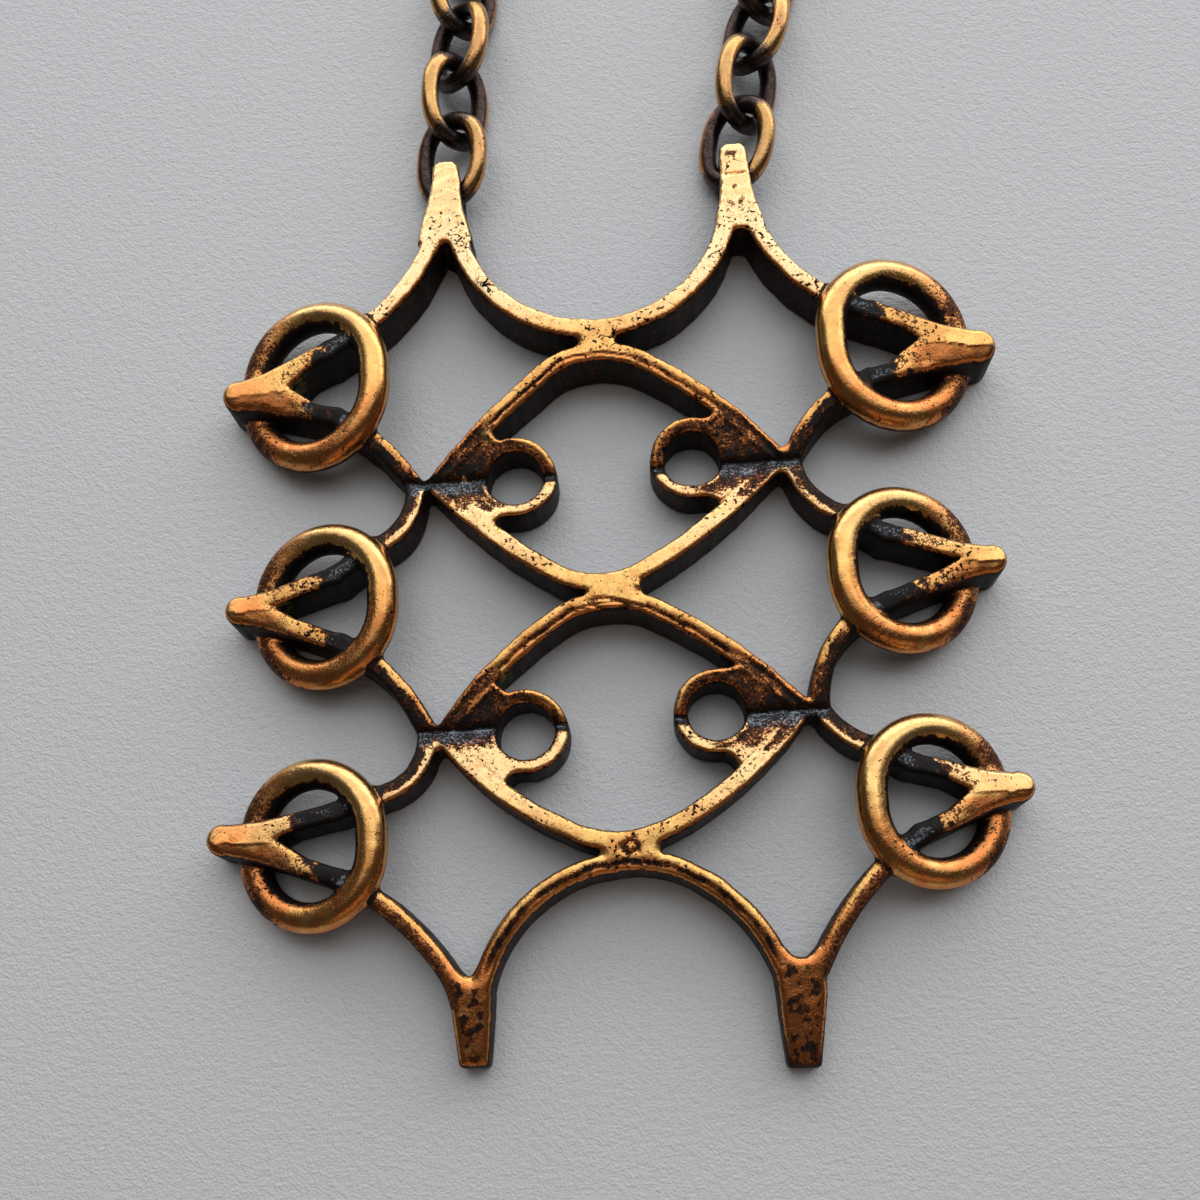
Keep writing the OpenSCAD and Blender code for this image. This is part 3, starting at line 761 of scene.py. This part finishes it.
def finish_casting(mesh, at, normal):
    """Stores how each spot looks: bare and bright where it wears, coppery, green, grey, pale, rough-skinned
    or cracked. The brightness of the rings is painted highlight and shade, the copper on faces turned to -Y
    is a painted warm reflection, the grey is partly painted glint and the pale gold on slopes facing +Y is a
    painted highlight.
    """
    x, y, z = at.T
    up = normal[:, 2]
    outline = plan(x, y)
    _, dark, copper_and_warm_reflection, grey_and_glint = relief(x, y, outline)
    # Bright on faces that turn up and stand above 1.6 mm, black on the walls and lower down.
    rubbed_and_lit = ramp(0.25, 0.8, up) * (1 - dark) * ramp(1.6, 3.0, z) - 0.35 * (1 - ramp(0.0, 0.35, up))
    grey_and_glint = grey_and_glint * ramp(0.45, 0.8, up) * ramp(1.6, 2.4, z)
    # Painted warm reflection: copper on faces turned towards -Y.
    copper_and_warm_reflection = np.maximum(copper_and_warm_reflection, 0.9 * ramp(0.06, 0.3, -normal[:, 1]) * (1 - ramp(0.35, 0.7, -normal[:, 2])))
    # Painted highlight: pale gold on slopes facing +Y, towards the light; the top end is paler as well.
    pale = 0.6 * ramp(0.5, 6.0, facing_north(y)) + 0.35 * ramp(20, 24, y)
    pale = pale * (1 - copper_and_warm_reflection) * (1 - 0.35 * ramp(30, 33, y))
    skin = (1 - 0.5 * ramp(21, 25, -y) - 0.5 * ramp(31, 33.5, y)) * (1 - 0.7 * ramp(0.95, 1.2, dark))
    for tip, _, _, notch, _ in SPIKES:
        point = ramp(0, 2, (x - notch[0]) * math.copysign(1, tip[0])) * (np.abs(y - tip[1]) < 5)
        skin = skin * (1 - 0.6 * point)
    for ring in RINGS:
        apart = ring_distance(x, y, z, ring)
        part = 1 - ramp(0.03, 0.1, apart)
        crevice = ramp(0.04, 0.1, apart) * (1 - ramp(0.2, 0.42, apart + 0.08 * waves(x, y, 0.3, 23.0)))
        away = np.maximum(np.hypot(x - ring[0], y - ring[1]), 1e-6)
        inward = (normal[:, 0] * (ring[0] - x) + normal[:, 1] * (ring[1] - y)) / away
        bright, warm, ring_skin = finish_ring(ring, x, y, up, inward)
        # On the rings this mask takes the painted highlight and shade of finish_ring, and is darker in the
        # crevice where a ring meets the casting.
        rubbed_and_lit = (rubbed_and_lit * (1 - part) + bright * part) * (1 - 0.9 * crevice)
        copper_and_warm_reflection = copper_and_warm_reflection * (1 - part) + warm * part
        skin = skin * (1 - part) + ring_skin * part
        grey_and_glint = grey_and_glint * (1 - part) + 0.12 * crevice
        pale = pale * (1 - 0.6 * part)
    rubbed_and_lit = np.maximum(rubbed_and_lit, 0.42 * ramp(0.4, 0.9, -up))
    green = np.zeros(len(x))
    for cx, cy in GREEN_SPECKS:
        green = np.maximum(green, spot(x, y, (cx, cy), 0.4) * ramp(1.5, 2.5, z))
    for cx, cy in GREEN_NOTCHES:
        wall = (1 - ramp(0.3, 0.6, up)) * ramp(1.5, 2.5, z)
        green = np.maximum(green, spot(x, y, (cx, cy), 0.7) * wall)
    cracked = np.zeros(len(x))
    for cx, cy, size in CRACKS:
        cracked = np.maximum(cracked, ramp(0.3, 0.7, spot(x, y, (cx, cy), size)))
    put_value(mesh, "rubbed_and_lit", np.clip(rubbed_and_lit, -0.4, 1))
    for name, values in (("copper_and_warm_reflection", copper_and_warm_reflection), ("pale", pale), ("skin", skin), ("green", green), ("grey_and_glint", grey_and_glint)):
        put_value(mesh, name, np.clip(values, 0, 1))
    put_value(mesh, "cracked", cracked * ramp(0.5, 0.8, up))


# Materials.

def new_material(name):
    m = bpy.data.materials.new(name)
    m.use_nodes = True
    return m, m.node_tree, m.node_tree.nodes["Principled BSDF"]


def add_node(tree, kind, **values):
    n = tree.nodes.new(kind)
    for key, value in values.items():
        setattr(n, key, value)
    return n


def noise_node(tree, coords, scale, detail, roughness=0.55, output="Fac"):
    n = add_node(tree, "ShaderNodeTexNoise")
    n.inputs["Scale"].default_value = scale
    n.inputs["Detail"].default_value = detail
    n.inputs["Roughness"].default_value = roughness
    tree.links.new(coords, n.inputs["Vector"])
    return n.outputs[output]


def math_node(tree, operation, a, b):
    n = add_node(tree, "ShaderNodeMath", operation=operation)
    for socket, v in zip(n.inputs, (a, b)):
        if isinstance(v, (int, float)):
            socket.default_value = v
        else:
            tree.links.new(v, socket)
    return n.outputs[0]


def product(tree, a, b):
    return math_node(tree, "MULTIPLY", a, b)


def total(tree, a, b):
    return math_node(tree, "ADD", a, b)


def less(tree, a, b):
    return math_node(tree, "SUBTRACT", a, b)


def range_node(tree, value, low, high, to_low=0.0, to_high=1.0):
    """Goes smoothly from to_low to to_high while a value goes from low to high."""
    n = add_node(tree, "ShaderNodeMapRange", interpolation_type="SMOOTHSTEP")
    tree.links.new(value, n.inputs["Value"])
    for key, v in (("From Min", low), ("From Max", high), ("To Min", to_low), ("To Max", to_high)):
        n.inputs[key].default_value = v
    return n.outputs["Result"]


def colour_mix(tree, factor, a, b):
    n = add_node(tree, "ShaderNodeMix", data_type="RGBA")
    tree.links.new(factor, n.inputs["Factor"])
    for key, v in (("A", a), ("B", b)):
        socket = [s for s in n.inputs if s.name == key and s.type == "RGBA"][0]
        if isinstance(v, tuple):
            socket.default_value = v + (1.0,)
        else:
            tree.links.new(v, socket)
    return [s for s in n.outputs if s.type == "RGBA"][0]


GOLD = (0.88, 0.52, 0.17)
DEEP_GOLD = (0.66, 0.32, 0.095)
# PALE_GOLD is laid on slopes facing +Y as a painted highlight.
PALE_GOLD = (0.93, 0.70, 0.38)
BROWN = (0.20, 0.072, 0.030)
BLACK = (0.006, 0.0052, 0.0052)
# SLATE is the grey of stains and scuffs, and of painted glints.
SLATE = (0.30, 0.335, 0.385)
# COPPER is copper tone, and a painted warm reflection on faces turned to -Y.
COPPER = (0.74, 0.25, 0.075)
GREEN = (0.62, 0.58, 0.16)
WIRE_GOLD = (0.55, 0.33, 0.10)
WIRE_DEEP = (0.40, 0.19, 0.07)
WIRE_BROWN = (0.115, 0.08, 0.07)
# Roughness of rubbed metal, and of the blackened skin of the casting and of the wire
POLISH = 0.2
CAST_MATT = 0.55
WIRE_MATT = 0.32
# Depth of the finest grain, in metres
GRAIN_DEPTH = 0.00007


def stored(tree, name):
    """One of the values that put_value stored on the mesh."""
    return add_node(tree, "ShaderNodeAttribute", attribute_name=name).outputs["Fac"]


def add_bump(tree, shader, height, strength, distance):
    bump = add_node(tree, "ShaderNodeBump")
    bump.inputs["Strength"].default_value = strength
    bump.inputs["Distance"].default_value = distance
    tree.links.new(height, bump.inputs["Height"])
    tree.links.new(bump.outputs["Normal"], shader.inputs["Normal"])


def cracks(tree, coords):
    """One on whole skin, nought along hairline cracks."""
    bent = add_node(tree, "ShaderNodeVectorMath", operation="MULTIPLY_ADD")
    tree.links.new(noise_node(tree, coords, 900, 2, 0.5, "Color"), bent.inputs[0])
    bent.inputs[1].default_value = (0.0012, 0.0012, 0.0012)
    tree.links.new(coords, bent.inputs[2])
    veins = add_node(tree, "ShaderNodeTexVoronoi", feature="DISTANCE_TO_EDGE")
    veins.inputs["Scale"].default_value = 480
    tree.links.new(bent.outputs[0], veins.inputs["Vector"])
    line = range_node(tree, veins.outputs["Distance"], 0.012, 0.035)
    return math_node(tree, "MAXIMUM", line, less(tree, 1.0, stored(tree, "cracked")))


def rubbed_metal(tree, broad, coarse, grain, gold, deep):
    """Colour of the bare metal, from pale gold to copper; the pale gold on slopes facing +Y is a painted
    highlight, and the copper is partly a painted warm reflection.
    """
    hue = range_node(tree, total(tree, broad, product(tree, coarse, 0.3)), 0.5, 0.85)
    metal = colour_mix(tree, hue, gold, deep)
    metal = colour_mix(tree, stored(tree, "pale"), metal, PALE_GOLD)
    skin = range_node(tree, stored(tree, "skin"), 0, 1, 0.25, 0.75)
    mottle = product(tree, range_node(tree, grain, 0.01, 0.1), skin)
    metal = colour_mix(tree, mottle, metal, deep)
    warm = product(tree, stored(tree, "copper_and_warm_reflection"), range_node(tree, coarse, 0.22, 0.48))
    return colour_mix(tree, warm, metal, COPPER)


def patina(tree, fine, browned, brown):
    """Colour of the blackened skin, brown where it wears thin and in the chain's painted shade, and grey in
    places: stains and scuffs, with painted glints.
    """
    grey_and_glint = stored(tree, "grey_and_glint")
    streak = range_node(tree, total(tree, fine, product(tree, grey_and_glint, 0.45)), 0.70, 0.82)
    streak = product(tree, product(tree, streak, grey_and_glint), range_node(tree, grey_and_glint, 0.02, 0.2, 0.3, 1.0))
    return colour_mix(tree, streak, colour_mix(tree, browned, BLACK, brown), SLATE)


def aged_bronze(name, gold, deep, brown, matt):
    """Bronze blackened all over, with painted shade in places, and bright where it stands proud and wears
    and where a highlight is painted, with pits and fine scratches.
    """
    m, tree, shader = new_material(name)
    coords = add_node(tree, "ShaderNodeTexCoord").outputs["Object"]
    broad = noise_node(tree, coords, 320, 3)
    coarse = noise_node(tree, coords, 1300, 3)
    fine = noise_node(tree, coords, 5600, 3, 0.6)
    skin = stored(tree, "skin")
    grain = less(tree, total(tree, product(tree, coarse, 0.4), product(tree, fine, 0.6)), 0.5)
    worn_and_lit = total(tree, stored(tree, "rubbed_and_lit"), product(tree, grain, range_node(tree, skin, 0, 1, 0.8, 2.6)))
    pits = total(tree, noise_node(tree, coords, 3300, 3), product(tree, less(tree, broad, 0.5), 0.36))
    pits = total(tree, pits, product(tree, skin, 0.09))
    whole = product(tree, range_node(tree, pits, 0.685, 0.755, 1.0, 0.0), cracks(tree, coords))
    bright = product(tree, range_node(tree, worn_and_lit, 0.42, 0.58), whole)
    browned = product(tree, range_node(tree, worn_and_lit, 0.02, 0.5), whole)
    metal = rubbed_metal(tree, broad, coarse, grain, gold, deep)
    colour = colour_mix(tree, bright, patina(tree, fine, browned, brown), metal)
    speck = product(tree, stored(tree, "green"), range_node(tree, coarse, 0.42, 0.58, 0.0, 0.85))
    tree.links.new(colour_mix(tree, speck, colour, GREEN), shader.inputs["Base Color"])
    tree.links.new(range_node(tree, worn_and_lit, -0.05, 0.3), shader.inputs["Metallic"])
    shader.inputs["Specular IOR Level"].default_value = 0.2
    rough = range_node(tree, bright, 0.0, 1.0, matt, POLISH)
    rough = total(tree, rough, product(tree, less(tree, fine, 0.5), 0.2))
    rough = total(tree, rough, product(tree, product(tree, bright, skin), 0.12))
    rough = less(tree, rough, product(tree, stored(tree, "grey_and_glint"), 0.2))
    tree.links.new(rough, shader.inputs["Roughness"])
    height = total(tree, product(tree, whole, 0.6), product(tree, fine, 0.8))
    height = total(tree, height, product(tree, coarse, 1.3))
    height = product(tree, height, range_node(tree, skin, 0, 1, 0.55, 1.0))
    add_bump(tree, shader, height, 0.5, GRAIN_DEPTH)
    return m


# The chain, in the same drop-shaped loop as its solids.

LINK_WIRE = 0.725
LINK_HALF_LENGTH = 3.425
LINK_HALF_WIDTH = 2.5
LINK_PITCH = 5.25
LINK_ROLL = 38
# The links by the prongs lie at a roll and a height of their own, in the order from the prong
FIRST_ROLLS = {0: -20, 1: 43}
FIRST_HEIGHTS = {0: PRONG_HOLE_HEIGHT, 1: 2.38, 2: 2.55}
LAST_HEIGHT = 2.62
# Step at which an even and an odd link's wire is joined
JOINT_STEPS = (2, 20)

# The loop: a straight run from the prong, a bend outwards, a straight run, and a half round at the back
FIRST_RUN = 22
BEND_RADIUS = 80
BACK_RADIUS = 69.19


def loop_stretches(heading, spread, straight, side):
    """Length and curvature of each stretch of a strand, from its prong to past the clasp."""
    return [
        (FIRST_RUN, 0),
        (math.radians(spread - heading) * BEND_RADIUS, side / BEND_RADIUS),
        (straight, 0),
        (math.radians(spread) * BACK_RADIUS + 5, -side / BACK_RADIUS),
    ]


def onward(p, heading, bend, d):
    """Where a walk of length d with a steady bend ends, and its heading there."""
    if bend == 0:
        return (p[0] + d * math.cos(heading), p[1] + d * math.sin(heading)), heading
    turned = heading + bend * d
    x = p[0] + (math.sin(turned) - math.sin(heading)) / bend
    y = p[1] + (math.cos(heading) - math.cos(turned)) / bend
    return (x, y), turned


def along(p, heading, stretches, d):
    for i, (length, bend) in enumerate(stretches):
        if d <= length or i == len(stretches) - 1:
            return onward(p, heading, bend, d)[0]
        p, heading = onward(p, heading, bend, length)
        d -= length


def holds(start, heading, stretches, count):
    """The points where neighbouring links hold each other."""
    angle = math.radians(heading)
    offset = LINK_HALF_LENGTH - LINK_PITCH / 2
    first = (start[0] + offset * math.cos(angle), start[1] + offset * math.sin(angle))
    low = LINK_WIRE + LINK_HALF_WIDTH * math.sin(math.radians(LINK_ROLL))
    heights = {**FIRST_HEIGHTS, count: LAST_HEIGHT}
    result = []
    for k in range(count + 1):
        p = along(first, angle, stretches, k * LINK_PITCH)
        result.append(Vector((p[0], p[1], heights.get(k, low))))
    return result


def roll_of(k):
    return FIRST_ROLLS.get(k, -LINK_ROLL if k % 2 == 0 else LINK_ROLL)


LINK_STEPS = 44
WIRE_STEPS = 18
LINK_SQUARENESS = 2.35


def link_shape():
    """Middle line of one link in its own plane, long along X, with the outward direction at each step."""
    t = (np.arange(LINK_STEPS) + 0.5) * math.tau / LINK_STEPS
    c, s = np.cos(t), np.sin(t)
    x = LINK_HALF_LENGTH * np.sign(c) * np.abs(c) ** (2 / LINK_SQUARENESS)
    y = LINK_HALF_WIDTH * np.sign(s) * np.abs(s) ** (2 / LINK_SQUARENESS)
    run_x, run_y = np.roll(x, -1) - np.roll(x, 1), np.roll(y, -1) - np.roll(y, 1)
    size = np.hypot(run_x, run_y)
    return x, y, run_y / size, -run_x / size


def link_points(joint):
    """Corners, outward normals, and how near each is to an end of the link, its joint and its outer side."""
    x, y, out_x, out_y = link_shape()
    b = np.arange(WIRE_STEPS) * math.tau / WIRE_STEPS
    across, lift = np.cos(b)[None, :], np.sin(b)[None, :]
    normal = np.stack([out_x[:, None] * across, out_y[:, None] * across, lift + 0 * x[:, None]], 2)
    middle = np.stack([x, y, 0 * x], 1)[:, None, :]
    end = np.repeat(ramp(0.5, 1.0, np.abs(x) / LINK_HALF_LENGTH), WIRE_STEPS)
    cut = np.repeat((np.arange(LINK_STEPS) == joint) * 1.0, WIRE_STEPS)
    wire = LINK_WIRE - 0.06 * cut.reshape(LINK_STEPS, WIRE_STEPS, 1)
    outer = np.tile(across.ravel(), LINK_STEPS)
    return (middle + wire * normal).reshape(-1, 3), normal.reshape(-1, 3), end, cut, outer


def link_faces():
    i, j = np.meshgrid(np.arange(LINK_STEPS), np.arange(WIRE_STEPS), indexing="ij")
    k, m = (i + 1) % LINK_STEPS, (j + 1) % WIRE_STEPS
    quads = [i * WIRE_STEPS + j, k * WIRE_STEPS + j, k * WIRE_STEPS + m, i * WIRE_STEPS + m]
    return np.stack([q.ravel() for q in quads], 1)


def link_placement(a, b, roll):
    d = b - a
    yaw = Matrix.Rotation(math.atan2(d.y, d.x), 4, "Z")
    pitch = Matrix.Rotation(-math.atan2(d.z, math.hypot(d.x, d.y)), 4, "Y")
    lean = Matrix.Rotation(math.radians(roll), 4, "X")
    return Matrix.Translation((a + b) / 2) @ yaw @ pitch @ lean


def finish_wire(mesh, at, normal, end, cut, outer):
    """Gold on the upper limbs between their ends, wear with painted light, and along the outer side of the
    limbs, partly painted highlight; a brown sheen as painted shade on the lower limbs and at the ends; black
    elsewhere.
    """
    x, y, z = at.T
    up = normal[:, 2]
    drift = 0.25 * waves(x, y, 2.2, 31.0) + 0.12 * waves(x, y, 0.8, 32.0)
    high = ramp(2.3, 3.5, z + 0.5 * drift)
    # Painted shade: darker on the lower limbs, low down, and at the ends where links pass inside each other.
    rubbed_and_lit = ramp(0.05, 0.65, up + 0.6 * drift) * (0.26 + 0.8 * high * (1 - end)) * (1 - cut)
    # Gold along the outer side of the limbs: wear with a painted highlight.
    edge = 0.8 * ramp(0.1, 0.6, outer + 0.3 * drift) * ramp(-0.5, 0.1, up) * (1 - 0.7 * end)
    rubbed_and_lit = np.maximum(rubbed_and_lit, edge)
    put_value(mesh, "rubbed_and_lit", np.clip(rubbed_and_lit, 0, 1))
    # Copper tone, stronger on the lower limbs as a painted warm reflection.
    put_value(mesh, "copper_and_warm_reflection", np.clip(0.12 + 0.8 * drift + 0.4 * (1 - high), 0, 1) * ramp(-0.5, 0.6, up))
    put_value(mesh, "pale", np.clip(0.15 * high + 0.3 * drift, 0, 1))
    put_value(mesh, "skin", np.full(len(x), 0.25))


def build_strand(name, start, heading, stretches, count):
    spots = holds(start, heading, stretches, count)
    rows = []
    for k in range(count):
        corners, normals, end, cut, outer = link_points(JOINT_STEPS[k % 2])
        place = np.array(link_placement(spots[k], spots[k + 1], roll_of(k)))
        turn = place[:3, :3].T
        rows.append((corners @ turn + place[:3, 3], normals @ turn, end, cut, outer))
    corners, normals, end, cut, outer = [np.concatenate([row[i] for row in rows]) for i in range(5)]
    one = link_faces()
    faces = np.concatenate([one + k * LINK_STEPS * WIRE_STEPS for k in range(count)])
    mesh = mesh_from(name, corners, faces)
    mesh.shade_smooth()
    finish_wire(mesh, corners, normals, end, cut, outer)
    return add_object(name, mesh)


# Start at the prong, heading, stretches and number of links
LEFT_STRAND = ((-11.8, 35.2), 84.6, loop_stretches(84.6, 126, 62.03, 1), 56)
RIGHT_STRAND = ((11.5, 34.9), 77.8, loop_stretches(102.2, 114.65, 110.91, -1), 55)


# Floor, light and camera.

# Half the floor's side, in metres
FLOOR_HALF = 1.6
FLOOR_TONES = ((0.71, 0.715, 0.735), (0.75, 0.755, 0.77))
SKY_COLOUR = (1.0, 0.94, 0.88, 1)
SKY_STRENGTH = 0.055


def build_floor():
    mesh = bpy.data.meshes.new("floor")
    outline = [(-1, -1), (1, -1), (1, 1), (-1, 1)]
    mesh.from_pydata([(x * FLOOR_HALF, y * FLOOR_HALF, 0) for x, y in outline], [], [(0, 1, 2, 3)])
    floor = add_object("floor", mesh)
    m, tree, shader = new_material("pale_floor")
    coords = add_node(tree, "ShaderNodeTexCoord").outputs["Object"]
    grain = noise_node(tree, coords, 5000, 2, 0.5)
    soft = noise_node(tree, coords, 1900, 1, 0.5)
    tone = colour_mix(tree, soft, *FLOOR_TONES)
    tree.links.new(tone, shader.inputs["Base Color"])
    shader.inputs["Roughness"].default_value = 0.5
    add_bump(tree, shader, total(tree, grain, product(tree, soft, 0.9)), 1.0, GRAIN_DEPTH)
    mesh.materials.append(m)


# One row for each lit panel: name, bearing clockwise from +Y and height in degrees, distance and size in
# metres, brightness, colour
PANELS = [
    ("window_low", 13, 21, 1.3, (3.4, 0.6), 2.45, (0.96, 0.98, 1.0)),
    ("window_high", 13, 47, 1.3, (3.0, 0.6), 1.2, (0.96, 0.98, 1.0)),
    ("window_top", 8, 70, 1.3, (1.9, 0.46), 1.6, (0.96, 0.98, 1.0)),
    ("ceiling", 0, 90, 1.3, (1.3, 0.4), 0.65, (1.0, 0.97, 0.93)),
    ("warm_side", 165, 25, 0.85, (0.8, 0.3), 0.4, (1.0, 0.62, 0.35)),
]


def area_light(name, azimuth, elevation, distance, size, radiance, colour):
    """A lit panel that faces the pendant."""
    turn, lift = math.radians(azimuth), math.radians(elevation)
    way = Vector((math.sin(turn) * math.cos(lift), math.cos(turn) * math.cos(lift), math.sin(lift)))
    data = bpy.data.lights.new(name, "AREA")
    data.shape = "RECTANGLE"
    data.size, data.size_y = size
    data.energy = radiance * math.pi * size[0] * size[1]
    data.color = colour
    o = add_object(name, data)
    o.location = way * distance
    o.rotation_euler = (-o.location).to_track_quat("-Z", "Y").to_euler()


def build_light():
    for panel in PANELS:
        area_light(*panel)
    world = bpy.data.worlds.new("world")
    bpy.context.scene.world = world
    world.use_nodes = True
    background = world.node_tree.nodes["Background"]
    background.inputs["Color"].default_value = SKY_COLOUR
    background.inputs["Strength"].default_value = SKY_STRENGTH
    bpy.context.scene.view_settings.view_transform = "Standard"


# The camera looks almost straight down from below the pendant's middle, and is shifted to frame it.
CAMERA_AT = (2.22, -35.91, 106.26)
CAMERA_TURN = ((0.9977, 0.0565, 0.0375), (-0.0485, 0.9814, -0.1858), (-0.0473, 0.1835, 0.9819))
CAMERA_LENS = 42
CAMERA_SHIFT = 200 / 1200


def build_camera():
    data = bpy.data.cameras.new("camera")
    data.sensor_width = 36
    data.lens = CAMERA_LENS
    data.shift_y = CAMERA_SHIFT
    data.clip_start = 0.01
    data.clip_end = 10
    o = add_object("camera", data)
    o.matrix_world = Matrix.Translation(Vector(CAMERA_AT) * MM) @ Matrix(CAMERA_TURN).to_4x4()
    bpy.context.scene.camera = o


def dress(o, node, material):
    """Puts a finished piece in place of the plain solid that it is built on."""
    o.data.materials.append(material)
    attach(o, "root")
    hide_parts(node)


def finish_clasp(material):
    """The clasp keeps its plain solid and takes the wire's finish."""
    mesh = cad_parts["clasp"].data
    mesh.shade_smooth()
    at = points_of(mesh) / MM
    normal = np.zeros(at.size, np.float32)
    mesh.vertices.foreach_get("normal", normal)
    plain = np.zeros(len(at))
    finish_wire(mesh, at, normal.reshape(-1, 3), plain, plain, plain)
    mesh.materials.clear()
    mesh.materials.append(material)


def main():
    build_camera()
    build_floor()
    build_light()
    cast = aged_bronze("cast_bronze", GOLD, DEEP_GOLD, BROWN, CAST_MATT)
    wire = aged_bronze("chain_bronze", WIRE_GOLD, WIRE_DEEP, WIRE_BROWN, WIRE_MATT)
    dress(build_pendant(), "pendant", cast)
    dress(build_strand("left_links", *LEFT_STRAND), "chain_left", wire)
    dress(build_strand("right_links", *RIGHT_STRAND), "chain_right", wire)
    finish_clasp(wire)


main()
